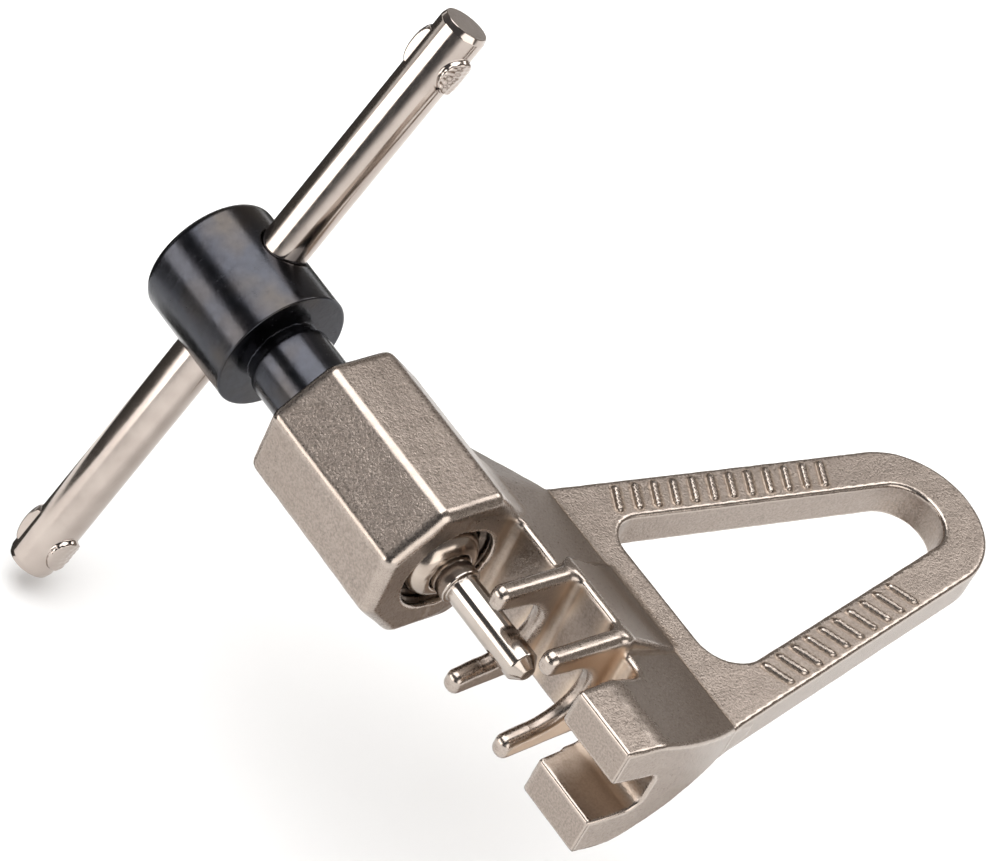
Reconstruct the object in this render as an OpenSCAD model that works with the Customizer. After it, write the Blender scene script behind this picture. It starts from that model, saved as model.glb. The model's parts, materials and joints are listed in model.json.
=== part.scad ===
// Compact chain tool: a cast frame with a loop handle, a black screw with a sliding T-bar,
// and a drive pin held in the screw's nose by a domed retainer.
// +X runs along the screw axis towards the pin's tip, +Y towards the loop handle and
// +Z is up, square to the loop. The origin is the centre of the inner roller notch,
// on the screw axis. Millimetres.

/* [Barrel] */
// Width across the barrel's eight flats
barrel_flats = 16.3; // [15:0.1:18]
// Length of the barrel
barrel_length = 19.4; // [17:0.1:22]
// Distance from the origin back to the barrel's front face
barrel_setback = 7.75; // [7:0.05:9]
// Chamfer round both ends of the barrel
barrel_chamfer = 1.1; // [0.5:0.1:1.5]
// Radius of the barrel's bore, on the crests of its thread
bore_r = 4.6; // [4.4:0.05:4.8]

/* [Cradle] */
// Thickness of each shelf
shelf_t = 1.9; // [1.5:0.1:2.2]
// Distance between the middles of the two shelves
shelf_spacing = 7.65; // [7:0.05:8.5]
// Radius of the notch that a chain roller drops into
notch_r = 4.2; // [4:0.05:4.4]
// How far each notch's mouth flares past its radius at the prong tips
notch_flare = 0.5; // [0:0.1:0.8]
// How far the prongs reach past the screw axis
prong_reach = 3.0; // [2:0.1:3.5]
// Height of the shelves above and below the screw axis, at the prong tips
prong_tip_height = 7.1; // [6.6:0.1:7.4]
// Height of the shelves at their roots
shelf_root_height = 6.6; // [6:0.1:7]
// Distance from the screw axis to the back wall of the cradle
wall_y = 6; // [5.5:0.1:6.5]

/* [Anvil] */
// Gap between the outer shelf and the anvil
anvil_gap = 2.75; // [2.5:0.05:3.5]
// Length of the anvil at its prongs, along the screw axis
anvil_length = 7.7; // [6.5:0.1:8.5]
// Height of the anvil's top above the screw axis
anvil_height = 6.8; // [6:0.1:7.2]
// How far the anvil reaches past the screw axis
anvil_reach = 2.4; // [2:0.1:3]
// Half of the width of the rivet slot at its mouth
slot_half = 2.75; // [2.4:0.05:3]
// Half of the width of the rivet slot near its closed end
slot_end_half = 2.7; // [2.4:0.05:2.8]
// Distance from the screw axis to the closed end of the slot
slot_depth = 2.9; // [2.7:0.1:3.5]

/* [Loop handle] */
// Height of the loop's flat top above the screw axis
loop_top = 1.9; // [1.5:0.1:2.3]
// How much further the loop, web and anvil reach below the screw axis than above it
underside_drop = 0.4; // [0:0.1:0.8]
// Distance from the screw axis to the middle of the loop's round end
loop_reach = 48.4; // [44:0.2:52]
// Outer radius of the loop's round end
loop_end_r = 8.5; // [8:0.1:9]
// Width of the loop's two arms
arm_w = 4.45; // [4:0.05:5]
// Distance from the screw axis to the near edge of the opening
opening_y = 16.9; // [16:0.1:18]
// Distance from the screw axis to where the slopes meet the flat loop
slope_foot_y = 13.8; // [13:0.1:14.5]
// Fall of the slopes beside the barrel and anvil, in mm per mm
slope_fall = 0.4; // [0.35:0.01:0.45]

/* [Screw] */
// Radius of the screw's head
head_r = 6.94; // [6.5:0.01:7.2]
// Length of the screw's head
head_length = 13.0; // [12:0.1:15]
// Distance from the head's front face back to the T-bar's axis
bar_setback = 6.85; // [6:0.05:7.5]
// Gap between the head and the back of the barrel
head_gap = 8.1; // [6:0.1:9]
// Radius of the plain neck between head and thread
neck_r = 4.15; // [3.8:0.05:4.3]
// Radius of the plain relief groove under the head
relief_r = 3.7; // [3.4:0.05:4]
// Running clearance of every turning or sliding fit
running_gap = 0.05; // [0.03:0.01:0.08]

/* [T-bar] */
// Radius of the T-bar
bar_r = 2.38; // [2.2:0.01:2.5]
// Length of the T-bar
bar_length = 70; // [60:0.1:80]
// Angle of the T-bar from +Y towards +Z
bar_angle = 67.4; // [0:0.1:90]
// How far the T-bar is slid along its own axis
bar_shift = -0.4; // [-5:0.1:5]
// Distance from the upper end of the T-bar to the middle of its staked ears
upper_ear_inset = 4.2; // [2.5:0.1:5]
// Distance from the lower end of the T-bar to the middle of its staked ears
lower_ear_inset = 3.5; // [2.5:0.1:5]
// Radius of the staked ears
ear_r = 2.95; // [2.7:0.05:3.1]

/* [Drive pin] */
// Radius of the drive pin
pin_r = 1.65; // [1.5:0.01:1.75]
// Distance from the origin to the drive pin's tip
pin_tip_x = 4.95; // [3:0.05:6]
// Length of the chamfer on the drive pin's tip
tip_chamfer = 0.9; // [0.5:0.1:1.2]
// Radius of the drive pin's collar
collar_r = 2.05; // [1.9:0.05:2.2]
// How far the collar stands out in front of the barrel's face
collar_proud = 2.25; // [1.5:0.05:2.5]

/* [Hidden] */
$fn = 96;

// Barrel
barrel_front = -barrel_setback;
barrel_back = barrel_front - barrel_length;
bore_chamfer = 0.4;

// Shelves and anvil, along X
shelf_x = [0, shelf_spacing];
anvil_x = shelf_spacing + shelf_t / 2 + anvil_gap;
anvil_end = anvil_x + anvil_length;
hump_x = [-1.6, shelf_spacing + shelf_t / 2 + 0.05];
ridge_y = wall_y + 0.2;
tip_bevel = 0.5;
overrun = 1;

// Slopes between the tall middle and the flat loop
function slope_z(y) = loop_top + slope_fall * (slope_foot_y - y);
anvil_ridge_y = slope_foot_y - (anvil_height - loop_top) / slope_fall;
slot_corner_r = 1.8;

// Plan of the loop: each side is a straight edge that leans with the handle
end_c = [3.8, loop_reach];
rear_lean = 0.192;
front_lean = -0.163;
function side_x(y, lean, side, inset) =
    end_c[0] + lean * (y - loop_reach) + side * (loop_end_r - inset) * sqrt(1 + pow(lean, 2));
function rear_x(y, inset = 0) = side_x(y, rear_lean, -1, inset);
function front_x(y, inset = 0) = side_x(y, front_lean, 1, inset);
rear_corner_r = 3;
front_corner_r = 4;

// The anvil's end wall bulges gently in plan
wall_r = 38.2;
wall_crown_y = 3.5;
wall_crown = anvil_end + pow(wall_crown_y + anvil_reach, 2) / (2 * wall_r);
function wall_x(y) = wall_crown - wall_r + sqrt(pow(wall_r, 2) - pow(y - wall_crown_y, 2));

// Rear edge of the web beside the barrel
web_rear_x = barrel_front - 12.6;
facet_rise = 28.5;
facet_turn = atan2(slope_foot_y - barrel_flats / 2, rear_x(slope_foot_y) - web_rear_x);

// Screw
head_front = barrel_back - head_gap;
head_back = head_front - head_length;
bar_x = head_front - bar_setback;
thread_r = bore_r - running_gap;
thread_back = barrel_back + 0.6;
nose_x = barrel_front - 2.2;
socket_r = 3.4;
socket_floor = nose_x - 5.3;
head_rounding = 0.9;
relief_length = 1.1;
edge_break = 0.35;

// Retainer and drive pin
retainer_stem_r = socket_r - running_gap;
retainer_back = nose_x - 3.8;
retainer_r = 4.1;
retainer_front = barrel_front + 0.5;
dome_flat_r = collar_r + 0.45;
pin_flange_r = 2.9;
pin_flange_front = retainer_back - 0.1;
pin_flange_back = socket_floor + 0.1;
collar_front = barrel_front + collar_proud;
tip_r = 0.75;

// T-bar
ear_t = 2;
bar_end_length = 0.6;
bar_end_step = 0.2;

casting_colour = [0.69, 0.64, 0.60];
screw_colour = [0.12, 0.12, 0.13];
bright_colour = [0.80, 0.77, 0.73];

// A straight extrusion of a YZ outline, from x0 to x1
module along_x(x0, x1) {
    translate([x0, 0, 0])
        rotate([90, 0, 90])
            linear_extrude(x1 - x0) children();
}

// A shape turned about the screw axis: the outline's points are [radius, x]
module turned(outline) {
    rotate([0, 90, 0])
        rotate_extrude() polygon(outline);
}

function arc(c, r, from, to, steps) =
    [for (i = [0 : steps]) let (a = from + (to - from) * i / steps) [c[0] + r * cos(a), c[1] + r * sin(a)]];

// One pair of flats of the barrel, with both ends chamfered
module barrel_slab() {
    h = barrel_flats / 2;
    c = barrel_chamfer;
    rotate([90, 0, 0])
        linear_extrude(2 * barrel_flats, center = true)
            polygon([
                [barrel_back, -h + c], [barrel_back + c, -h], [barrel_front - c, -h], [barrel_front, -h + c],
                [barrel_front, h - c], [barrel_front - c, h], [barrel_back + c, h], [barrel_back, h - c],
            ]);
}

module barrel() {
    intersection_for (i = [0 : 3])
        rotate([45 * i, 0, 0]) barrel_slab();
}

// Outline across the web: z high from near_y to the ridge, then sloping down to the flat loop
module web_section(near_y, ridge, z) {
    low = -z - underside_drop;
    loop_low = -loop_top - underside_drop;
    polygon(concat(
        [[near_y, low]],
        ridge > near_y ? [[ridge, low]] : [],
        [[slope_foot_y, loop_low], [opening_y, loop_low], [opening_y, loop_top], [slope_foot_y, loop_top]],
        ridge > near_y ? [[ridge, z]] : [],
        [[near_y, z]]
    ));
}

// Plan of the web and anvil: a slanted rear edge and a bulging end wall
module web_plan() {
    wall_steps = 16;
    wall_from = -anvil_reach;
    wall_to = slope_foot_y;
    linear_extrude(2 * barrel_flats, center = true)
        polygon(concat(
            [[web_rear_x, 0], [web_rear_x, barrel_flats / 2], [rear_x(slope_foot_y), slope_foot_y],
             [rear_x(opening_y), opening_y], [front_x(opening_y), opening_y]],
            [for (i = [0 : wall_steps])
                let (y = wall_to + (wall_from - wall_to) * i / wall_steps) [wall_x(y), y]],
            [[anvil_x, -anvil_reach], [anvil_x, 0]]
        ));
}

// The rear edge of each slope is cut back by a flat facet
module web_rear_facet() {
    cut = 4 * barrel_length;
    for (s = [1, -1])
        translate([rear_x(slope_foot_y), slope_foot_y, s > 0 ? loop_top : -loop_top - underside_drop])
            rotate([0, 0, facet_turn])
                rotate([-s * facet_rise, 0, 0])
                    translate([-cut / 2, -cut / 2, s > 0 ? 0 : -cut])
                        cube(cut);
}

module web() {
    difference() {
        intersection() {
            union() {
                along_x(web_rear_x, barrel_front - barrel_chamfer) web_section(0, 0, slope_z(0));
                along_x(barrel_front - 2 * barrel_chamfer, anvil_end + overrun)
                    web_section(wall_y, wall_y, slope_z(wall_y));
                along_x(hump_x[0], hump_x[1]) web_section(wall_y, ridge_y, shelf_root_height);
                along_x(anvil_x, anvil_end + overrun)
                    web_section(-anvil_reach, anvil_ridge_y, anvil_height);
            }
            web_plan();
        }
        web_rear_facet();
        anvil_slot();
    }
}

// The slot narrows a little towards its closed end, which has rounded corners
module anvil_slot() {
    slot_mouth = -anvil_reach - overrun;
    corner = [slot_depth - slot_corner_r, slot_end_half - slot_corner_r];
    along_x(anvil_x - overrun, anvil_end + 2 * overrun) {
        for (s = [1, -1])
            translate([corner[0], s * corner[1]]) circle(slot_corner_r);
        polygon([
            [slot_mouth, -slot_half], [corner[0], -slot_end_half], [slot_depth, -corner[1]],
            [slot_depth, corner[1]], [corner[0], slot_end_half], [slot_mouth, slot_half],
        ]);
    }
}

// One shelf: a plate with a prong above and a prong below the roller notch
module shelf(x) {
    h = prong_tip_height;
    tip = -prong_reach;
    mouth = tip - overrun;
    difference() {
        along_x(x - shelf_t / 2, x + shelf_t / 2)
            polygon([
                [tip, -h + tip_bevel], [tip + tip_bevel, -h], [ridge_y, -shelf_root_height],
                [ridge_y, shelf_root_height], [tip + tip_bevel, h], [tip, h - tip_bevel],
            ]);
        along_x(x - shelf_t, x + shelf_t) {
            circle(notch_r);
            polygon([
                [0, -notch_r], [0, notch_r], [mouth, notch_r + notch_flare],
                [mouth, -notch_r - notch_flare],
            ]);
        }
    }
}

// The flat loop handle, with a three-cornered opening
module loop() {
    end_steps = 24;
    corner_steps = 6;
    rear_c_y = opening_y + rear_corner_r;
    front_c_y = opening_y + front_corner_r;
    rear_c = [rear_x(rear_c_y, arm_w + rear_corner_r), rear_c_y];
    front_c = [front_x(front_c_y, arm_w + front_corner_r), front_c_y];
    rear_turn = atan(rear_lean);
    front_turn = -atan(front_lean);
    translate([0, 0, -loop_top - underside_drop])
        linear_extrude(2 * loop_top + underside_drop)
            difference() {
                polygon(concat(
                    [[rear_x(slope_foot_y), slope_foot_y]],
                    arc(end_c, loop_end_r, 180 - rear_turn, front_turn, end_steps),
                    [[front_x(slope_foot_y), slope_foot_y]]
                ));
                polygon(concat(
                    arc(rear_c, rear_corner_r, 270, 180 - rear_turn, corner_steps),
                    arc(end_c, loop_end_r - arm_w, 180 - rear_turn, front_turn, end_steps),
                    arc(front_c, front_corner_r, front_turn, -90, corner_steps)
                ));
            }
}

// Everything that is cast in one piece
module frame_casting() {
    color(casting_colour)
        difference() {
            union() {
                barrel();
                web();
                loop();
                for (x = shelf_x) shelf(x);
            }
            translate([barrel_back - overrun, 0, 0])
                rotate([0, 90, 0])
                    cylinder(r = bore_r, h = barrel_length + overrun + overrun / 2);
            for (end = [0, 1])
                turned([
                    [0, end ? barrel_back - overrun : barrel_front - bore_chamfer],
                    [bore_r, end ? barrel_back + bore_chamfer : barrel_front - bore_chamfer],
                    [bore_r + bore_chamfer, end ? barrel_back : barrel_front],
                    [bore_r + bore_chamfer, end ? barrel_back - overrun : barrel_front + overrun / 2],
                    [0, end ? barrel_back - overrun : barrel_front + overrun / 2],
                ]);
        }
}

// Head, neck and thread are one turned bar with a cross hole and a socket in its nose
module screw() {
    c = edge_break;
    rounding_steps = 4;
    rounding_c = [head_r - head_rounding, head_back + head_rounding];
    color(screw_colour)
        difference() {
            turned(concat(
                [[0, head_back]],
                arc(rounding_c, head_rounding, -90, 0, rounding_steps),
                [[head_r, head_front - c], [head_r - c, head_front], [relief_r, head_front],
                 [relief_r, head_front + relief_length], [neck_r, head_front + relief_length + c],
                 [neck_r, thread_back], [thread_r, thread_back + thread_r - neck_r],
                 [thread_r, nose_x - c], [thread_r - c, nose_x], [socket_r, nose_x],
                 [socket_r, socket_floor], [0, socket_floor]]
            ));
            translate([bar_x, 0, 0])
                rotate([bar_angle - 90, 0, 0])
                    cylinder(r = bar_r + running_gap, h = 3 * head_r, center = true);
        }
}

// A stemmed cap in the screw's nose: its domed front keeps the drive pin in
module pin_retainer() {
    bore = collar_r + running_gap;
    dome_c = nose_x + 0.5;
    dome_steps = 8;
    color(bright_colour)
        turned(concat(
            [[bore, retainer_back], [retainer_stem_r, retainer_back], [retainer_stem_r, nose_x],
             [retainer_r, nose_x], [retainer_r, dome_c]],
            [for (i = [1 : dome_steps])
                let (a = 90 * i / dome_steps)
                    [dome_flat_r + (retainer_r - dome_flat_r) * cos(a),
                     dome_c + (retainer_front - dome_c) * sin(a)]],
            [[bore, retainer_front]]
        ));
}

module drive_pin() {
    color(bright_colour)
        turned([
            [0, pin_flange_back], [pin_flange_r, pin_flange_back], [pin_flange_r, pin_flange_front],
            [collar_r, pin_flange_front], [collar_r, collar_front - edge_break],
            [collar_r - edge_break / 2, collar_front], [pin_r, collar_front],
            [pin_r, pin_tip_x - tip_chamfer], [tip_r, pin_tip_x], [0, pin_tip_x],
        ]);
}

// A plain bar, pinched near both ends so that it can't slide out of the head
module t_bar() {
    half = bar_length / 2;
    c = bar_end_length;
    face_r = bar_r - bar_end_step;
    color(bright_colour)
        translate([bar_x, 0, 0])
            rotate([bar_angle - 90, 0, 0])
                translate([0, 0, bar_shift]) {
                    rotate_extrude()
                        polygon([
                            [0, -half], [face_r, -half], [bar_r, -half + c],
                            [bar_r, half - c], [face_r, half], [0, half],
                        ]);
                    for (w = [half - upper_ear_inset, lower_ear_inset - half])
                        translate([0, 0, w])
                            rotate([90, 0, 0])
                                cylinder(r = ear_r, h = ear_t, center = true);
                }
}

frame_casting();
screw();
pin_retainer();
drive_pin();
t_bar();
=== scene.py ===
"""A compact chain tool: the looks of its five parts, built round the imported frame.

Shapes are worked out in millimetres, in the part's own axes: +X runs along the screw towards
the drive pin's tip, +Y towards the loop handle and +Z is up. Cast and machined shapes are
distance fields: a function says how far a point is outside the surface, and surface() turns
the function into a closed mesh.
"""
import json
import math

import bpy
import numpy as np
from mathutils import Matrix, Vector


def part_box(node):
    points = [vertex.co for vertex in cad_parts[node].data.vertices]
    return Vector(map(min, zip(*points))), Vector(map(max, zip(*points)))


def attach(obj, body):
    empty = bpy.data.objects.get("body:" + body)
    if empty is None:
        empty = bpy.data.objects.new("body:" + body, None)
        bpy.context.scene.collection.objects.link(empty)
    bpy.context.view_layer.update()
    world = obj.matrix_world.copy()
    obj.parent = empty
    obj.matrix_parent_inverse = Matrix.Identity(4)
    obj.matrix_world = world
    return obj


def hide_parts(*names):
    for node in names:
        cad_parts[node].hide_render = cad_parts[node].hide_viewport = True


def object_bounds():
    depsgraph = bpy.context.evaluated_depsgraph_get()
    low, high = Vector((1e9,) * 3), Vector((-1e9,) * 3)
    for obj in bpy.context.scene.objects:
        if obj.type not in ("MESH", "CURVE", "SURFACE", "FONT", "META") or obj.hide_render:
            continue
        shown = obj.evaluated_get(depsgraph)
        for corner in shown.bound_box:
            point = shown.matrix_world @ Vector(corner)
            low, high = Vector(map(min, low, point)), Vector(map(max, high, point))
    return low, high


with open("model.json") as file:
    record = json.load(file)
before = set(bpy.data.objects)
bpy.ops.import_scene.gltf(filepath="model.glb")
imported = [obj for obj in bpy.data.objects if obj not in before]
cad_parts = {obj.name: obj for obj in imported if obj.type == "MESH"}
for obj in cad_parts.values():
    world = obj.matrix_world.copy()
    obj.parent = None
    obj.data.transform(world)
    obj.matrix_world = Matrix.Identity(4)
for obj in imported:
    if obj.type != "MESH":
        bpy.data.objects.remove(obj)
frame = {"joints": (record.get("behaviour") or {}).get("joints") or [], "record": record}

cad_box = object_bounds()
MM = 0.001


# ------------------------------------------------------------------ sizes, read from the frame

def box_mm(node):
    return [np.array(corner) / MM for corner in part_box(node)]


def mount_mm(name):
    mounts = frame["record"]["mounts"]
    return np.array(next(m["pos_m"] for m in mounts if m["name"] == name)) / MM


def joint_axis(name):
    return Vector(next(j["axis"] for j in frame["joints"] if j["name"] == name)).normalized()


CAST_LO, CAST_HI = box_mm("frame_casting")
SCREW_LO, SCREW_HI = box_mm("screw")
CAP_LO, CAP_HI = box_mm("pin_retainer")
PIN_LO, PIN_HI = box_mm("drive_pin")
BAR_LO, BAR_HI = box_mm("t_bar")

# Barrel: half its height over the flats, its two ends and its bore
BARREL_HALF = CAST_HI[2]
BARREL_BACK = CAST_LO[0]
BARREL_FRONT = 2 * mount_mm("barrel_flat_top")[0] - BARREL_BACK
BORE_R = 5.0

# Loop handle: a round end, and two arms whose outer sides lean towards it, in mm of x per mm of y.
# The underside lies DROP further down than the mirror image of the top.
DROP = 0.4
LOOP_TOP = -mount_mm("loop_flat_bottom")[2] - DROP
END_R = 8.5
END_X, END_Y = mount_mm("loop_flat_bottom")[0], CAST_HI[1] - END_R
REAR_LEAN, FRONT_LEAN = 0.192, -0.163
ARM_W = 4.45
OPENING_Y = 16.9

# Web: it rises from the loop's foot at FOOT_Y towards the screw, FALL mm per mm, with a steeper
# hump behind the shelves. WALL_Y is the back of the chain's pockets.
WEB_LENGTH = 12.6
WEB_REAR_X = BARREL_FRONT - WEB_LENGTH
FOOT_Y = 13.8
FALL = 0.4
HUMP_TOP = 6.6
WALL_Y = 6.0

# Shelves and their roller notches
SHELF_X = (0.0, 7.65)
SHELF_HALF = 0.92
PRONG_TIP_Y, PRONG_TIP_Z = -3.05, 7.15
NOTCH_R = 4.2

# Anvil, whose far face is a shallow arc of radius END_WALL_R about a centre at END_WALL_Y
ANVIL_X = mount_mm("anvil_face")[0]
ANVIL_END = CAST_HI[0]
ANVIL_TIP_Y, ANVIL_TOP = -2.4, 6.8
END_WALL_R, END_WALL_Y = 38.2, 3.5

# Screw and its thread
HEAD_BACK, NOSE = SCREW_LO[0], SCREW_HI[0]
HEAD_R = SCREW_HI[2]
HEAD_LENGTH = 13.0
HEAD_FRONT = HEAD_BACK + HEAD_LENGTH
NECK_R = 4.15
PITCH = 1.25
THREAD_ROOT, THREAD_DEPTH, THREAD_GAP = 4.3, 0.52, 0.1
THREAD_START = BARREL_BACK + 0.6

# T-bar, with a pair of staked ears near each end
BAR_AXIS = joint_axis("bar_slide")
BAR_X = (BAR_LO[0] + BAR_HI[0]) / 2
BAR_R, BAR_HALF = 2.4, 35.0
UPPER_EAR_INSET, LOWER_EAR_INSET = 4.2, 3.5
EAR_AT = (BAR_HALF - UPPER_EAR_INSET, LOWER_EAR_INSET - BAR_HALF)


# ------------------------------------------------------------------ distance fields

def inside_both(a, b, r):
    """The part inside a and b, where their faces meet in an edge of radius r."""
    u, v = np.maximum(a + r, 0), np.maximum(b + r, 0)
    return np.minimum(np.maximum(a, b), -r) + np.hypot(u, v)


def joined(a, b, r):
    """a and b together, with a fillet of radius r between them."""
    u, v = np.maximum(r - a, 0), np.maximum(r - b, 0)
    return np.maximum(np.minimum(a, b), r) - np.hypot(u, v)


def soft_max(a, b, k):
    """The larger of a and b, rounded over where they are within k of each other."""
    h = np.clip(0.5 + 0.5 * (a - b) / k, 0, 1)
    return b + (a - b) * h + k * h * (1 - h)


def soft_min(a, b, k):
    return -soft_max(-a, -b, k)


def outline(points, x, y):
    """Distance outside a closed outline, negative within it."""
    points = np.asarray(points, float)
    nearest = np.full(x.shape, np.inf)
    within = np.zeros(x.shape, bool)
    for (ax, ay), (bx, by) in zip(points, np.roll(points, -1, axis=0)):
        ex, ey = bx - ax, by - ay
        t = np.clip(((x - ax) * ex + (y - ay) * ey) / (ex * ex + ey * ey), 0, 1)
        nearest = np.minimum(nearest, (x - ax - t * ex) ** 2 + (y - ay - t * ey) ** 2)
        if ey:
            within ^= ((ay > y) != (by > y)) & (x < ax + ex * (y - ay) / ey)
    return np.where(within, -1, 1) * np.sqrt(nearest)


def beyond(x, low, high):
    """Distance outside the stretch from low to high."""
    return np.maximum(low - x, x - high)


def rounded_box(x, y, x0, x1, y0, y1, r):
    """Distance outside an upright rectangle with corners of radius r."""
    u = np.abs(x - (x0 + x1) / 2) - (x1 - x0) / 2 + r
    v = np.abs(y - (y0 + y1) / 2) - (y1 - y0) / 2 + r
    return np.hypot(np.maximum(u, 0), np.maximum(v, 0)) + np.minimum(np.maximum(u, v), 0) - r


def arc(centre, r, start, end, steps):
    """Points along an arc, with its angles in degrees."""
    angles = np.radians(np.linspace(start, end, steps + 1))
    return [(centre[0] + r * math.cos(a), centre[1] + r * math.sin(a)) for a in angles]


def smoothstep(t):
    t = np.clip(t, 0, 1)
    return t * t * (3 - 2 * t)


def waviness(x, y, z):
    """The slight unevenness of a cast and tumbled surface, in millimetres."""
    broad = np.sin(1.1 * x + 0.7 * y) * np.sin(0.9 * y + 1.3 * z + 1) * np.sin(1.2 * z - 0.8 * x)
    fine = np.sin(3.7 * x + 1.9 * z) * np.sin(3.1 * y - 2.3 * x + 2) * np.sin(4.1 * z + 1.7 * y)
    return 0.022 * broad + 0.005 * fine


# ------------------------------------------------------------------ from field to mesh

def slope(distance, p, reach=0.02):
    """Gradient of the field at each point."""
    steps = np.eye(3) * reach
    return np.stack([(distance(*(p + s).T) - distance(*(p - s).T)) / (2 * reach) for s in steps], 1)


def sampled(distance, lo, blocks, step, side):
    """The field on a grid, worked out in full only in the blocks that the surface may cross."""
    middles = np.stack(np.meshgrid(*[np.arange(n) for n in blocks], indexing="ij"), -1)
    rough = distance(*np.moveaxis(lo + (middles + 0.5) * side * step, -1, 0))
    half_diagonal = math.sqrt(3) / 2 * side * step
    reach = 1.2 * half_diagonal + 0.3
    near = np.abs(rough) < reach
    offsets = np.stack(np.meshgrid(*[np.arange(side)] * 3, indexing="ij"), -1)
    tiles = np.empty((*blocks, side, side, side))
    tiles[...] = (np.sign(rough) * reach)[..., None, None, None]
    points = lo + step * (middles[near][:, None, None, None, :] * side + offsets)
    tiles[near] = distance(*np.moveaxis(points, -1, 0))
    return tiles.transpose(0, 3, 1, 4, 2, 5).reshape([n * side for n in blocks])


def surface(distance, lo, hi, step):
    """Points, quads and normals of the closed surface where the field is zero, by surface nets."""
    side = 8
    lo = np.asarray(lo, float) - 2 * step
    blocks = np.ceil((np.asarray(hi, float) + 2 * step - lo) / (step * side)).astype(int)
    field = sampled(distance, lo, blocks, step, side)
    crossings, rings = [], []
    for axis in range(3):
        u, v = (axis + 1) % 3, (axis + 2) % 3
        lower = np.moveaxis(np.moveaxis(field, axis, 0)[:-1], 0, axis)
        upper = np.moveaxis(np.moveaxis(field, axis, 0)[1:], 0, axis)
        at = np.argwhere((lower < 0) != (upper < 0))
        a, b = lower[tuple(at.T)], upper[tuple(at.T)]
        crossing = at.astype(float)
        crossing[:, axis] += a / (a - b)
        ring = []
        for du, dv in ((0, 0), (1, 0), (1, 1), (0, 1)):
            cell = at.copy()
            cell[:, u] -= du
            cell[:, v] -= dv
            ring.append(np.ravel_multi_index(cell.T, field.shape))
        ring = np.stack(ring, 1)
        ring[a > 0] = ring[a > 0][:, ::-1]
        crossings.append(crossing)
        rings.append(ring)
    crossings, rings = np.concatenate(crossings), np.concatenate(rings)
    index = np.unique(rings, return_inverse=True)[1].reshape(-1)
    share = np.bincount(index)
    at = [np.bincount(index, np.repeat(crossings[:, k], 4)) / share for k in range(3)]
    points = lo + step * np.stack(at, 1)
    for _ in range(3):    # three short moves put each point on the surface
        rise = slope(distance, points)
        move = distance(*points.T) / np.maximum((rise ** 2).sum(1), 0.05)
        points -= np.clip(move, -step, step)[:, None] * rise
    normals = slope(distance, points)
    normals /= np.linalg.norm(normals, axis=1)[:, None]
    return points, index.reshape(-1, 4), normals


def edginess(distance, points, reach=0.25):
    """How sharply the surface bends: above zero on outer edges, below zero in hollows."""
    total = sum(distance(*(points + s).T) for s in np.concatenate([np.eye(3), -np.eye(3)]) * reach)
    return (total - 6 * distance(*points.T)) / reach ** 2


def shelter(distance, points, normals):
    """How much of the surroundings hides each point: 0 in the open, about 1 deep in a pocket."""
    hidden = [1 - distance(*(points + h * normals).T) / h for h in (1.5, 3.0, 5.0)]
    return np.clip(sum(hidden) / 3, 0, 1)


def make_piece(name, points, faces, normals, material, body, node):
    mesh = bpy.data.meshes.new(name)
    mesh.from_pydata((np.asarray(points) * MM).tolist(), [], list(faces))
    mesh.polygons.foreach_set("use_smooth", [True] * len(mesh.polygons))
    if normals is not None:
        mesh.normals_split_custom_set_from_vertices(np.asarray(normals).tolist())
    mesh.materials.append(material)
    piece = bpy.data.objects.new(name, mesh)
    bpy.context.scene.collection.objects.link(piece)
    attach(piece, body)
    if node:
        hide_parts(node)
    return piece


# ------------------------------------------------------------------ the casting

def side_x(y, lean, side, inset=0.0):
    """Where a side of the loop is at y: side is -1 for the rear arm and 1 for the front arm."""
    return END_X + lean * (y - END_Y) + side * (END_R - inset) * math.sqrt(1 + lean ** 2)


def rear_x(y, inset=0.0):
    return side_x(y, REAR_LEAN, -1, inset)


def front_x(y, inset=0.0):
    return side_x(y, FRONT_LEAN, 1, inset)


REAR_TURN, FRONT_TURN = math.degrees(math.atan(REAR_LEAN)), -math.degrees(math.atan(FRONT_LEAN))


def end_wall_x(y):
    """The anvil's far face, a shallow arc."""
    return ANVIL_END - END_WALL_R + math.sqrt(END_WALL_R ** 2 - (y - END_WALL_Y) ** 2)


def loop_outline():
    end = arc((END_X, END_Y), END_R, 180 - REAR_TURN, FRONT_TURN, 32)
    return [(rear_x(FOOT_Y), FOOT_Y), *end, (front_x(FOOT_Y), FOOT_Y)]


def opening_outline():
    """The loop's three-cornered opening."""
    rear_r, front_r = 3.0, 4.0
    rear_c = (rear_x(OPENING_Y + rear_r, ARM_W + rear_r), OPENING_Y + rear_r)
    front_c = (front_x(OPENING_Y + front_r, ARM_W + front_r), OPENING_Y + front_r)
    return [
        *arc(rear_c, rear_r, 270, 180 - REAR_TURN, 10),
        *arc((END_X, END_Y), END_R - ARM_W, 180 - REAR_TURN, FRONT_TURN, 24),
        *arc(front_c, front_r, FRONT_TURN, -90, 10),
    ]


def web_outline():
    """The web and anvil, seen from above."""
    wall = [(end_wall_x(y), y) for y in np.linspace(FOOT_Y, ANVIL_TIP_Y, 17)]
    return [
        (WEB_REAR_X, 0), (WEB_REAR_X, BARREL_HALF), (rear_x(FOOT_Y), FOOT_Y),
        (rear_x(OPENING_Y), OPENING_Y), (front_x(OPENING_Y), OPENING_Y),
        *wall, (ANVIL_X, ANVIL_TIP_Y), (ANVIL_X, 0),
    ]


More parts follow.
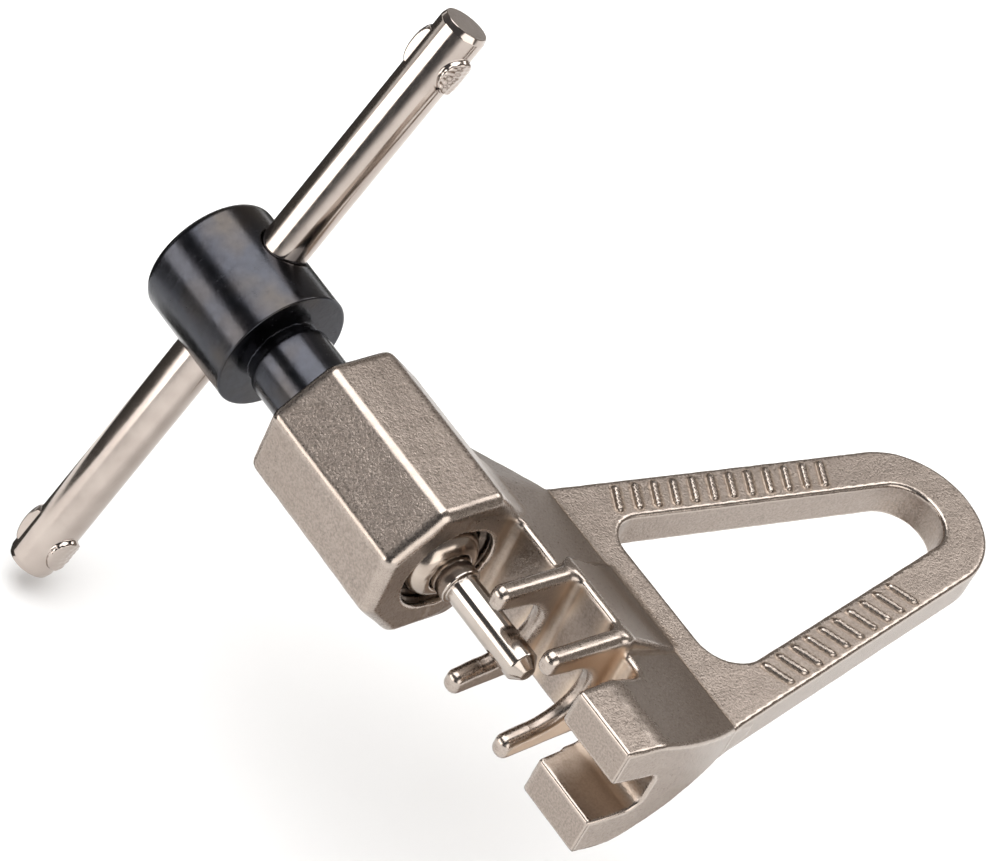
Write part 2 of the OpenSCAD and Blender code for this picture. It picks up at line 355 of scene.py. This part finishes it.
def grip_ribs(x, y, z):
    """A row of plain slanted ribs, raised on the top face of each arm."""
    pitch, half_w, half_l, proud, slant = 2.15, 0.36, 1.5, 0.3, 0.3
    rows = ((REAR_LEAN, -1, 20.0, 12), (FRONT_LEAN, 1, 22.0, 10))
    total = np.full(x.shape, np.inf)
    for lean, side, start, count in rows:
        stretch = math.sqrt(1 + lean ** 2)
        middle = END_X + lean * (y - END_Y) + side * (END_R - ARM_W / 2) * stretch
        across = (x - middle) / stretch
        along = (y - start) * stretch + lean * (x - middle) / stretch - slant * side * across
        number = np.clip(np.round(along / pitch), 0, count - 1)
        rib = rounded_box(along - number * pitch, across, -half_w, half_w, -half_l, half_l, half_w)
        total = np.minimum(total, rib)
    return inside_both(total, beyond(z, LOOP_TOP - proud, LOOP_TOP + proud), 0.2)


def barrel_field(x, y, h):
    """Eight flats along the screw, with well rounded ends."""
    flats = soft_max(np.abs(y), h, 0.3)
    slanted = soft_max(np.abs(y + h), np.abs(y - h), 0.3) / math.sqrt(2)
    octagon = soft_max(flats, slanted, 0.35) - BARREL_HALF
    return inside_both(octagon, beyond(x, BARREL_BACK, BARREL_FRONT), 1.15)


def pockets(x, y):
    """The open space between barrel, shelves and anvil, where the chain lies."""
    open_side_y, corner_r = -30, 1.3
    return rounded_box(x, y, BARREL_FRONT, ANVIL_X, open_side_y, WALL_Y, corner_r)


def sloping_roof(y, h, fall):
    """Distance above a plane that meets the loop's top at FOOT_Y and rises towards the screw."""
    return (h - LOOP_TOP - fall * (FOOT_Y - y)) * math.cos(math.atan(fall))


def rear_facet(x, y, h):
    """Distance above the slanted plane behind the web, through one corner on the barrel's side."""
    barrel_corner = np.array([BARREL_FRONT - 5.0, 7.05, 4.58])
    foot = np.array([rear_x(FOOT_Y), FOOT_Y, LOOP_TOP])
    back = np.array([WEB_REAR_X, BARREL_HALF, LOOP_TOP])
    out = np.cross(foot - barrel_corner, back - barrel_corner)
    out *= np.sign(out[2]) / np.linalg.norm(out)
    return (x - foot[0]) * out[0] + (y - foot[1]) * out[1] + (h - foot[2]) * out[2]


def web_field(x, y, h):
    """The sloping body between barrel, loop and anvil, with the hump that carries the shelves."""
    hump_back_x, hump_flat = -1.6, 0.3
    plan = outline(web_outline(), x, y)
    roof = inside_both(sloping_roof(y, h, FALL), h - ANVIL_TOP, 0.35)
    roof = soft_max(roof, rear_facet(x, y, h), 0.25)
    base = inside_both(plan, roof, 0.35)
    hump_fall = (HUMP_TOP - LOOP_TOP) / (FOOT_Y - WALL_Y - hump_flat)
    hump_roof = inside_both(sloping_roof(y, h, hump_fall), h - HUMP_TOP, 0.5)
    hump_ends = beyond(x, hump_back_x, SHELF_X[1] + SHELF_HALF)
    hump = inside_both(hump_ends, np.maximum(hump_roof, plan), 0.4)
    return joined(base, hump, 0.5)


def shelf_field(x, y, h, at):
    """One shelf: a plate with a prong above and a prong below the roller notch."""
    root, flare = 0.6, 0.18
    top = PRONG_TIP_Z + (HUMP_TOP - PRONG_TIP_Z) * (y - PRONG_TIP_Y) / (WALL_Y - PRONG_TIP_Y)
    shelf = inside_both(h - top, beyond(y, PRONG_TIP_Y, WALL_Y + root), 1.0)
    circle = np.hypot(y, h) - NOTCH_R
    mouth = np.maximum(h - NOTCH_R + flare * np.minimum(y, 0), y)
    shelf = inside_both(shelf, -np.minimum(circle, mouth), 0.7)
    return inside_both(shelf, beyond(x, at - SHELF_HALF, at + SHELF_HALF), 0.8)


def anvil_slot(x, y, z):
    """The slot narrows a little towards its closed end, which has rounded corners."""
    mouth_half, end_half, end_y, corner_r, middle_z = 2.75, 2.45, 2.9, 1.5, -0.1
    slot_x = ANVIL_X - 3
    taper = (mouth_half - end_half) / (end_y - corner_r - ANVIL_TIP_Y)
    half = end_half + taper * np.maximum(end_y - corner_r - y, 0)
    slot = inside_both(np.abs(z - middle_z) - half, y - end_y, corner_r)
    return np.maximum(slot, slot_x - x)


def bore_field(x, y, z):
    """The hole through the barrel, a little narrower close to each end."""
    lip, lip_length, run_in, past_front = 0.12, 0.5, 0.2, 1
    mouth = np.minimum(BARREL_FRONT - x, x - BARREL_BACK)
    narrowed = lip * smoothstep((lip_length - mouth) / run_in)
    return np.maximum(np.hypot(y, z) - BORE_R + narrowed, x - BARREL_FRONT - past_front)


def casting(x, y, z):
    """The whole frame. Heights h and low_h fold the underside onto the top."""
    h = np.abs(z)
    low_h = np.maximum(z, -z - DROP)
    web = web_field(x, y, low_h)
    web = inside_both(web, -pockets(x, y), 0.7)
    for at in SHELF_X:
        web = joined(web, shelf_field(x, y, h, at), 0.9)
    web = inside_both(web, -anvil_slot(x, y, z), 0.3)
    loop = inside_both(outline(loop_outline(), x, y), low_h - LOOP_TOP, 0.35)
    loop = inside_both(loop, -outline(opening_outline(), x, y), 0.38)
    whole = soft_min(web, loop, 0.3)
    whole = soft_min(whole, grip_ribs(x, y, z), 0.15)
    whole = joined(whole, barrel_field(x, y, h), 0.5)
    whole = inside_both(whole, -bore_field(x, y, z), 0.28)
    return whole + waviness(x, y, z)


# ------------------------------------------------------------------ the screw and its thread

def thread_profile(x, angle):
    """0 in the thread's root and 1 on its crest, for a right-hand thread."""
    turn = x / PITCH - angle / (2 * math.pi)
    saw = 2 * np.abs(turn - np.floor(turn) - 0.5)
    return smoothstep((saw - 0.14) / 0.72)


def screw_head(x, y, z, radius):
    """A drum with one well rounded end, and a cross hole for the T-bar."""
    hole_gap = 0.06
    head = inside_both(radius - HEAD_R, HEAD_BACK - x, 0.9)
    head = inside_both(head, x - HEAD_FRONT, 0.18)
    from_bar = np.hypot(x - BAR_X, y * BAR_AXIS.z - z * BAR_AXIS.y)
    return inside_both(head, -(from_bar - BAR_R - hole_gap), 0.3)


def screw_thread(x, y, z, radius):
    """The threaded length. Its distances are scaled down, since the flanks make them run too fast."""
    run_in, run_out, nose_land, scale = 0.8, 0.6, 0.2, 0.6
    shown = smoothstep((x - THREAD_START) / run_in) * smoothstep((NOSE - nose_land - x) / run_out)
    crest = THREAD_ROOT + THREAD_DEPTH * thread_profile(x, np.arctan2(z, y)) * shown
    thread = inside_both((radius - crest) * scale, x - NOSE, 0.3)
    return np.maximum(thread, THREAD_START - 0.2 - x)


def screw(x, y, z):
    """Head, a narrow groove in front of it, plain neck and thread, with a socket in the nose."""
    groove_r, groove_length, overlap = 3.7, 1.1, 2
    socket_r, socket_depth = 3.4, 5.3
    radius = np.hypot(y, z)
    head = screw_head(x, y, z, radius)
    groove = np.maximum(radius - groove_r, beyond(x, HEAD_FRONT - overlap, HEAD_FRONT + overlap))
    neck = inside_both(radius - NECK_R, HEAD_FRONT + groove_length - x, 0.3)
    neck = np.maximum(neck, x - THREAD_START - 1)
    shank = np.minimum(np.minimum(groove, neck), screw_thread(x, y, z, radius))
    socket = np.maximum(radius - socket_r, NOSE - socket_depth - x)
    return np.maximum(np.minimum(head, shank), -socket)


def thread_liner():
    """The barrel's own thread: a closed sleeve with the screw's thread cut inside it."""
    around, per_mm, run_out, inset = 144, 12, 0.7, 0.55
    rows = int((BARREL_FRONT - BARREL_BACK) * per_mm)
    x = np.linspace(BARREL_BACK + inset, BARREL_FRONT - inset, rows)
    angle = np.linspace(0, 2 * math.pi, around, endpoint=False)
    xs, angles = np.meshgrid(x, angle, indexing="ij")
    near_end = smoothstep(np.minimum(xs - x[0], x[-1] - xs) / run_out)
    deep = THREAD_ROOT + THREAD_GAP + THREAD_DEPTH * thread_profile(xs, angles)
    inner = deep * near_end + (BORE_R - 0.01) * (1 - near_end)
    outer = np.full(around, BORE_R + 0.1)
    rows_x = [np.full(around, x[-1]), np.full(around, x[0])]
    radii = np.concatenate([inner, [outer, outer]])
    xs = np.concatenate([xs, rows_x])
    angles = np.concatenate([angles, [angle, angle]])
    points = np.stack([xs, radii * np.cos(angles), radii * np.sin(angles)], -1).reshape(-1, 3)
    return points, ring_quads(len(xs), around)


def ring_quads(rows, around):
    """Quads over rows of points that go round and close on themselves both ways."""
    i, j = np.meshgrid(np.arange(rows), np.arange(around), indexing="ij")
    i2, j2 = (i + 1) % rows, (j + 1) % around
    corners = [i * around + j, i * around + j2, i2 * around + j2, i2 * around + j]
    return np.stack(corners, -1).reshape(-1, 4)


# ------------------------------------------------------------------ turned bright parts

def pin_retainer(x, y, z):
    """A cap with a domed front and a hole for the drive pin."""
    radius = np.hypot(y, z)
    rim_x, hole_r, stem_r = NOSE + 0.25, 2.1, 3.35
    dome_r, crown_r = CAP_HI[2], 2.3
    stem = inside_both(radius - stem_r, beyond(x, CAP_LO[0], rim_x), 0.1)
    swell = CAP_HI[0] - rim_x
    out = np.maximum(radius - crown_r, 0) / (dome_r - crown_r)
    dome = (np.hypot(out, (x - rim_x) / swell) - 1) * min(dome_r - crown_r, swell)
    dome = inside_both(dome, NOSE - x, 0.1)
    cap = soft_min(stem, dome, 0.1)
    return inside_both(cap, hole_r - radius, 0.35)


def drive_pin(x, y, z):
    """A slender polished pin with a collar, held by a flange inside the screw's nose."""
    radius = np.hypot(y, z)
    pin_r, collar_r, collar_proud = 1.65, 2.05, 2.25
    cone_length, cone_slope, cone_scale, end_play = 0.95, 0.95, 0.72, 0.1
    cone_x = PIN_HI[0] - cone_length
    cone = (radius - pin_r + (x - cone_x) * cone_slope) * cone_scale
    shank = soft_max(inside_both(radius - pin_r, x - PIN_HI[0], 0.08), cone, 0.06)
    shank = np.maximum(shank, PIN_LO[0] + 1 - x)
    collar = inside_both(radius - collar_r, x - BARREL_FRONT - collar_proud, 0.12)
    collar = np.maximum(collar, PIN_LO[0] + 0.5 - x)
    flange = inside_both(radius - PIN_HI[2], beyond(x, PIN_LO[0], CAP_LO[0] - end_play), 0.12)
    return soft_min(np.minimum(collar, flange), shank, 0.06)


def ear_height(u, v, along):
    """How far a staked ear stands out: a rough low button on +u, a flat-sided fin on -u."""
    fin_h, fin_l, fin_w = 0.62, 1.95, 2.0
    button_h, button_l, button_w, dip, grain = 0.5, 1.85, 1.5, 0.08, 0.035
    fin = fin_h * np.sqrt(np.clip(1 - (along / fin_l) ** 2, 0, 1))
    flat_side = np.maximum(fin_w / np.maximum(np.abs(v), 0.01) - BAR_R, 0)
    across = BAR_R * np.arcsin(np.clip(v, -1, 1))
    reach = np.hypot(along / button_l, across / button_w)
    punched = np.sin(7.3 * along + 2.9 * across + 1) * np.sin(6.1 * across - 4.4 * along)
    button = button_h - dip * smoothstep((0.9 - reach) / 0.5) + grain * punched
    button = button * smoothstep((1.1 - reach) / 0.16)
    return np.where(u > 0, button, np.minimum(fin, flat_side))


def bar_rod():
    """The T-bar in its own axes, as rings of points: w runs along it, u is the ears' side."""
    around, cone, cone_r = 224, 0.6, 0.2
    ear_reach, fine, coarse = 2.2, 0.07, 0.5
    half, shoulder = BAR_HALF, BAR_HALF - cone
    end = [(shoulder - 0.08, 0), (shoulder, 0), (shoulder + 0.05, 0.014), (half - 0.06, cone_r - 0.02)]
    end += [(half - 0.01, cone_r), (half, cone_r + 0.02), (half, cone_r + 0.06)]
    end += [(half, BAR_R / 2), (half, BAR_R - 0.02)]
    upper, lower = EAR_AT
    plain = [
        *np.arange(lower - ear_reach, lower + ear_reach, fine),
        *np.arange(lower + ear_reach + coarse, upper - ear_reach, coarse),
        *np.arange(upper - ear_reach, upper + ear_reach, fine),
        *np.arange(upper + ear_reach + coarse, shoulder - coarse, coarse),
    ]
    stations = [(-w, drop) for w, drop in reversed(end)] + [(w, 0) for w in plain] + end
    w, drop = np.array(stations).T
    angle = np.linspace(0, 2 * math.pi, around, endpoint=False)
    u, v = np.cos(angle), np.sin(angle)
    along = np.minimum(np.abs(w - upper), np.abs(w - lower)) * np.sign(w)
    rise = ear_height(u[None], v[None], along[:, None])
    rise = np.where(np.abs(v)[None] < 0.95, rise, 0)    # the two ears don't meet at the sides
    radii = BAR_R - drop[:, None] + rise
    points = np.stack([radii * u, radii * v, np.repeat(w[:, None], around, 1)], -1).reshape(-1, 3)
    quads = ring_quads(len(w), around)[:(len(w) - 1) * around].tolist()
    first = list(range(around))[::-1]
    last = [(len(w) - 1) * around + i for i in range(around)]
    return points, quads + [first, last]


# ------------------------------------------------------------------ materials

class Material:
    """A node material with short calls for the nodes that the metals share."""

    def __init__(self, name, **values):
        self.made = bpy.data.materials.new(name)
        self.made.use_nodes = True
        self.tree = self.made.node_tree
        self.shader = self.tree.nodes["Principled BSDF"]
        for key, value in values.items():
            self.shader.inputs[key.replace("_", " ")].default_value = value
        self.place = self.add("ShaderNodeTexCoord").outputs["Object"]

    def add(self, kind, inputs=(), **settings):
        node = self.tree.nodes.new(kind)
        for key, value in settings.items():
            setattr(node, key, value)
        for key, value in dict(inputs).items():
            if isinstance(value, bpy.types.NodeSocket):
                self.tree.links.new(value, node.inputs[key])
            else:
                node.inputs[key].default_value = value
        return node

    def stretched(self, scale, turn=(0, 0, 0)):
        inputs = {"Vector": self.place, "Scale": scale, "Rotation": turn}
        return self.add("ShaderNodeMapping", inputs).outputs["Vector"]

    def noise(self, per_mm, detail=3.0, rough=0.55, place=None):
        inputs = {"Vector": place or self.place, "Scale": per_mm / MM}
        inputs.update({"Detail": detail, "Roughness": rough})
        return self.add("ShaderNodeTexNoise", inputs).outputs["Fac"]

    def spread(self, value, low, high, out_low=0.0, out_high=1.0):
        inputs = {"Value": value, 1: low, 2: high, 3: out_low, 4: out_high}
        return self.add("ShaderNodeMapRange", inputs).outputs["Result"]

    def maths(self, operation, a, b):
        return self.add("ShaderNodeMath", {0: a, 1: b}, operation=operation).outputs[0]

    def mix(self, factor, a, b):
        inputs = {"Factor": factor, 6: a, 7: b}
        return self.add("ShaderNodeMix", inputs, data_type="RGBA").outputs[2]

    def bump(self, height, strength, depth_mm):
        inputs = {"Height": height, "Strength": strength, "Distance": depth_mm * MM}
        return self.add("ShaderNodeBump", inputs).outputs["Normal"]

    def set(self, key, value):
        self.tree.links.new(value, self.shader.inputs[key])


def satin_nickel():
    """Blasted and plated castings: a fine grain, painted shade in the hollows, painted golden bounce
    light in sheltered pockets, and edges rubbed smooth that also carry a painted highlight.
    """
    m = Material("satin_nickel", Metallic=1.0)
    grain = m.noise(4.6, 2.0, 0.55)
    speckle = m.spread(grain, 0.36, 0.64)
    patches = m.spread(m.noise(0.16, 2.0), 0.3, 0.7)
    edge = m.add("ShaderNodeAttribute", attribute_name="edge").outputs["Fac"]
    sheltered = m.add("ShaderNodeAttribute", attribute_name="shelter").outputs["Fac"]
    worn_and_highlit = m.spread(edge, 0.25, 1.4)
    crease_shade = m.spread(edge, -0.15, -1.0)
    smoothed = m.maths("MAXIMUM", m.spread(edge, 0.0, 0.5), m.spread(sheltered, 0.12, 0.5))
    colour = m.mix(speckle, (0.25, 0.211, 0.183, 1), (0.365, 0.309, 0.27, 1))
    colour = m.mix(m.maths("MULTIPLY", patches, 0.3), colour, (0.29, 0.24, 0.205, 1))
    # Painted shade: concave corners and creases get a darker colour.
    colour = m.mix(m.maths("MULTIPLY", crease_shade, 0.5), colour, (0.26, 0.195, 0.145, 1))
    # Painted bounce light: sheltered pockets get a lighter, golden colour, as if lit by light thrown
    # between their walls.
    colour = m.mix(m.spread(sheltered, 0.25, 0.75), colour, (0.70, 0.56, 0.44, 1))
    # Convex edges lighter: partly real wear that rubs the grain off, partly a painted highlight.
    colour = m.mix(m.maths("MULTIPLY", worn_and_highlit, 0.7), colour, (0.45, 0.39, 0.345, 1))
    m.set("Base Color", colour)
    rough = m.spread(grain, 0.3, 0.7, 0.27, 0.37)
    rough = m.maths("SUBTRACT", rough, m.maths("MULTIPLY", worn_and_highlit, 0.08))
    m.set("Roughness", m.maths("ADD", rough, m.maths("MULTIPLY", sheltered, 0.12)))
    height = m.maths("ADD", grain, m.maths("MULTIPLY", m.noise(9.0, 2.0), 0.4))
    m.set("Normal", m.bump(height, m.spread(smoothed, 0, 1, 0.78, 0.04), 0.06))
    return m.made


def thread_nickel():
    """The thread in the bore: the same plating, in a darker, mottled brown."""
    m = Material("thread_nickel", Metallic=1.0)
    dull = m.spread(m.noise(0.9, 4.0), 0.35, 0.7)
    m.set("Base Color", m.mix(dull, (0.17, 0.135, 0.11, 1), (0.08, 0.062, 0.05, 1)))
    m.set("Roughness", m.spread(dull, 0, 1, 0.22, 0.4))
    m.set("Normal", m.bump(m.noise(5.0, 3.0), 0.3, 0.03))
    return m.made


def black_oxide():
    """Blackened, oiled steel: faint turning marks, and a sheen that clouds from slate to brown."""
    m = Material("black_oxide", Metallic=1.0)
    turned = m.noise(1.0, 4.0, 0.6, m.stretched((9, 0.25, 0.25)))
    cloud = m.spread(m.noise(0.16, 2.0), 0.5, 0.72)
    mottle = m.spread(m.noise(1.1, 5.0, 0.65), 0.32, 0.68)
    colour = m.mix(cloud, (0.049, 0.051, 0.060, 1), (0.066, 0.058, 0.052, 1))
    m.set("Base Color", m.mix(m.maths("MULTIPLY", mottle, 0.4), colour, (0.038, 0.037, 0.040, 1)))
    rough = m.maths("ADD", m.spread(mottle, 0, 1, 0.15, 0.26), m.spread(turned, 0.3, 0.7, -0.02, 0.04))
    m.set("Roughness", rough)
    height = m.maths("ADD", turned, m.maths("MULTIPLY", m.noise(3.0, 4.0), 0.8))
    m.set("Normal", m.bump(height, 0.3, 0.03))
    return m.made


def bright_nickel(name, along, colour, worn, marks=0.1, haze=0.0):
    """Polished plating with hairline scratches along the part and soft smears."""
    m = Material(name, Metallic=1.0)
    hairs = m.noise(2.5, 5.0, 0.7, along(m))
    smear = m.spread(m.noise(0.3, 3.0), 0.35, 0.75)
    m.set("Base Color", m.mix(smear, colour, worn))
    shine = m.spread(smear, 0, 1, 0.09 + haze, 0.16 + haze)
    m.set("Roughness", m.maths("ADD", shine, m.spread(hairs, 0.4, 0.75, 0, 0.06)))
    m.set("Normal", m.bump(hairs, marks, 0.02))
    return m.made


def paper_floor():
    """Matt white paper with the faintest unevenness."""
    m = Material("paper_floor", Roughness=0.95)
    tone = m.spread(m.noise(0.004, 2.0), 0.3, 0.7)
    m.set("Base Color", m.mix(tone, (0.90, 0.90, 0.895, 1), (0.93, 0.93, 0.925, 1)))
    return m.made


# ------------------------------------------------------------------ the pieces

def store(piece, name, values):
    """One number per point, for the material to read."""
    attribute = piece.data.attributes.new(name, "FLOAT", "POINT")
    attribute.data.foreach_set("value", values.astype(np.float32))


CAST_STEP, SCREW_STEP = ((0.26, 0.17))
CAP_STEP, PIN_STEP = 0.08, 0.12

nickel = satin_nickel()
points, quads, normals = surface(casting, CAST_LO, CAST_HI, CAST_STEP)
cast = make_piece("frame_body", points, quads, normals, nickel, "frame", "frame_casting")
store(cast, "edge", edginess(casting, points))
store(cast, "shelter", shelter(casting, points, normals))

points, quads = thread_liner()
make_piece("barrel_thread", points, quads, None, thread_nickel(), "frame", None)

points, quads, normals = surface(screw, SCREW_LO, SCREW_HI, SCREW_STEP)
make_piece("screw_body", points, quads, normals, black_oxide(), "screw", "screw")

polished = bright_nickel(
    "polished_cap", lambda m: m.place,
    (0.46, 0.395, 0.34, 1), (0.34, 0.28, 0.235, 1), marks=0.02, haze=0.07
)
points, quads, normals = surface(pin_retainer, CAP_LO, CAP_HI, CAP_STEP)
make_piece("retainer_cap", points, quads, normals, polished, "screw", "pin_retainer")

steel = bright_nickel(
    "pin_steel", lambda m: m.stretched((0.05, 1, 1)),
    (0.47, 0.42, 0.38, 1), (0.39, 0.34, 0.30, 1)
)
points, quads, normals = surface(drive_pin, PIN_LO, PIN_HI, PIN_STEP)
make_piece("pin_turned", points, quads, normals, steel, "pin", "drive_pin")

# The T-bar is meshed in its own axes, then turned into place
ears_side = Vector((1, 0, 0))
bar_axes = np.array([ears_side, BAR_AXIS.cross(ears_side), BAR_AXIS])
bar_middle = (BAR_LO + BAR_HI) / 2
bar_turn = (math.atan2(BAR_AXIS.y, BAR_AXIS.z), 0, 0)
rod = bright_nickel(
    "bar_nickel", lambda m: m.stretched((1, 1, 0.05), bar_turn),
    (0.47, 0.41, 0.37, 1), (0.40, 0.345, 0.31, 1)
)
points, faces = bar_rod()
points = points @ bar_axes + bar_middle
make_piece("t_bar_rod", points, faces, None, rod, "bar", "t_bar")


# ------------------------------------------------------------------ studio

def aim(thing, place, target):
    thing.location = place
    thing.rotation_euler = (Vector(target) - Vector(place)).to_track_quat("-Z", "Y").to_euler()


def soft_box(name, place, target, size, power, colour=(1, 1, 1)):
    """A light that is seen in reflections, and that leaves matt surfaces alone."""
    data = bpy.data.lights.new(name, "AREA")
    data.shape = "RECTANGLE"
    data.size, data.size_y = size
    data.energy = power
    data.color = colour
    light = bpy.data.objects.new(name, data)
    light.visible_camera = False
    light.visible_diffuse = False
    bpy.context.scene.collection.objects.link(light)
    aim(light, place, target)
    return light


def flat_sheet(name, outline_xy, z, material):
    corners = [(x, y, z) for x, y in outline_xy]
    mesh = bpy.data.meshes.new(name)
    mesh.from_pydata(corners, [], [range(len(corners))])
    mesh.materials.append(material)
    thing = bpy.data.objects.new(name, mesh)
    bpy.context.scene.collection.objects.link(thing)
    return thing


def reflected_shade_sheet(name, outline_xy, material):
    """A dark sheet just above the floor that shows only in reflections: painted shade for the metals
    to reflect.
    """
    card = flat_sheet(name, outline_xy, SHADE_SHEET_Z, material)
    card.visible_camera = False
    card.visible_diffuse = False
    card.visible_shadow = False


middle = (cad_box[0] + cad_box[1]) / 2
FLOOR_Z = cad_box[0].z - 0.002
FLOOR_HALF = 2.0
SHADE_SHEET_Z = FLOOR_Z + 0.0006
square = [(-FLOOR_HALF, -FLOOR_HALF), (FLOOR_HALF, -FLOOR_HALF), (FLOOR_HALF, FLOOR_HALF)]
square.append((-FLOOR_HALF, FLOOR_HALF))
flat_sheet("floor", square, FLOOR_Z, paper_floor())

black = Material("reflected_shade_black", Roughness=0.9, Base_Color=(0.02, 0.018, 0.016, 1)).made
# Painted dark reflection: a black sheet left of the tool, seen only in reflections, darkens what the
# bar and head reflect on that side.
left_of_tool = [(-0.16, -0.28), (-0.40, -0.28), (-0.40, 0.20), (-0.075, 0.20), (-0.078, -0.05)]
reflected_shade_sheet("dark_reflection_left", left_of_tool, black)
# Painted shadow: a black sheet under the T-bar's lower end, seen only in reflections, stands for its
# contact shadow.
under_bar_end = [(-0.0455, -0.021), (-0.064, -0.024), (-0.064, 0.000), (-0.0455, -0.010)]
reflected_shade_sheet("reflected_shadow_bar_end", under_bar_end, black)
# Painted shadow: a brown sheet under the loop, seen only in reflections, stands for the tool's shadow
# on the floor beneath it.
brown = Material("reflected_shadow_brown", Roughness=0.9, Base_Color=(0.28, 0.22, 0.18, 1)).made
under_loop = [(-0.006, 0.010), (0.030, 0.010), (0.030, 0.042), (-0.006, 0.042)]
reflected_shade_sheet("reflected_shadow_under_loop", under_loop, brown)

# The soft boxes show in the metals only, and the floor has a broad light of its own
soft_box("overhead", (-0.22, -0.03, 0.47), (-0.04, 0, 0), (0.58, 0.38), 2.7)
soft_box("back_right", (-0.04, 0.46, 0.46), middle, (0.28, 0.24), 0.8)
soft_box("front_low", (-0.207, -0.466, 0.065), middle, (0.43, 0.20), 1.05, (1.0, 0.965, 0.93))
soft_box("right_side", (0.42, -0.03, 0.16), middle, (0.50, 0.36), 1.45, (1.0, 0.985, 0.96))
fill = soft_box("floor_fill", (0, 0, 0.9), middle, (1.6, 1.6), 24.0)
fill.visible_glossy = False
fill.visible_diffuse = True


def studio_world():
    """Dim surroundings that are lighter and warmer towards the back."""
    world = bpy.data.worlds.new("studio")
    world.use_nodes = True
    tree = world.node_tree
    direction = tree.nodes.new("ShaderNodeTexCoord").outputs["Generated"]
    parts = tree.nodes.new("ShaderNodeSeparateXYZ")
    tree.links.new(direction, parts.inputs[0])
    towards_back = tree.nodes.new("ShaderNodeMapRange")
    tree.links.new(parts.outputs["Y"], towards_back.inputs["Value"])
    towards_back.inputs["From Min"].default_value = -0.5
    towards_back.inputs["From Max"].default_value = 0.9
    ramp = tree.nodes.new("ShaderNodeValToRGB")
    tree.links.new(towards_back.outputs["Result"], ramp.inputs["Fac"])
    front, rear = ramp.color_ramp.elements
    front.color = (0.10, 0.10, 0.105, 1)
    rear.color = (0.34, 0.31, 0.285, 1)
    tree.links.new(ramp.outputs["Color"], tree.nodes["Background"].inputs["Color"])
    return world


bpy.context.scene.world = studio_world()

# The camera looks down at the tool from its front right, a little rolled
AZIMUTH, ELEVATION, ROLL = 34.15, 41.61, 27.5
DISTANCE = 0.324
TARGET = Vector((-0.01394, 0.00636, 0.00977))
az, el = math.radians(AZIMUTH), math.radians(ELEVATION)
back = Vector((math.sin(az) * math.cos(el), -math.cos(az) * math.cos(el), math.sin(el)))
camera = bpy.data.objects.new("camera", bpy.data.cameras.new("camera"))
bpy.context.scene.collection.objects.link(camera)
camera.data.sensor_width = 36
camera.data.lens = 130.9
camera.data.clip_start = 0.01
camera.rotation_mode = "QUATERNION"
camera.location = TARGET + back * DISTANCE
level = (-back).to_track_quat("-Z", "Y")
camera.rotation_quaternion = level @ Matrix.Rotation(math.radians(ROLL), 3, "Z").to_quaternion()
bpy.context.scene.camera = camera
bpy.context.scene.view_settings.view_transform = "Standard"
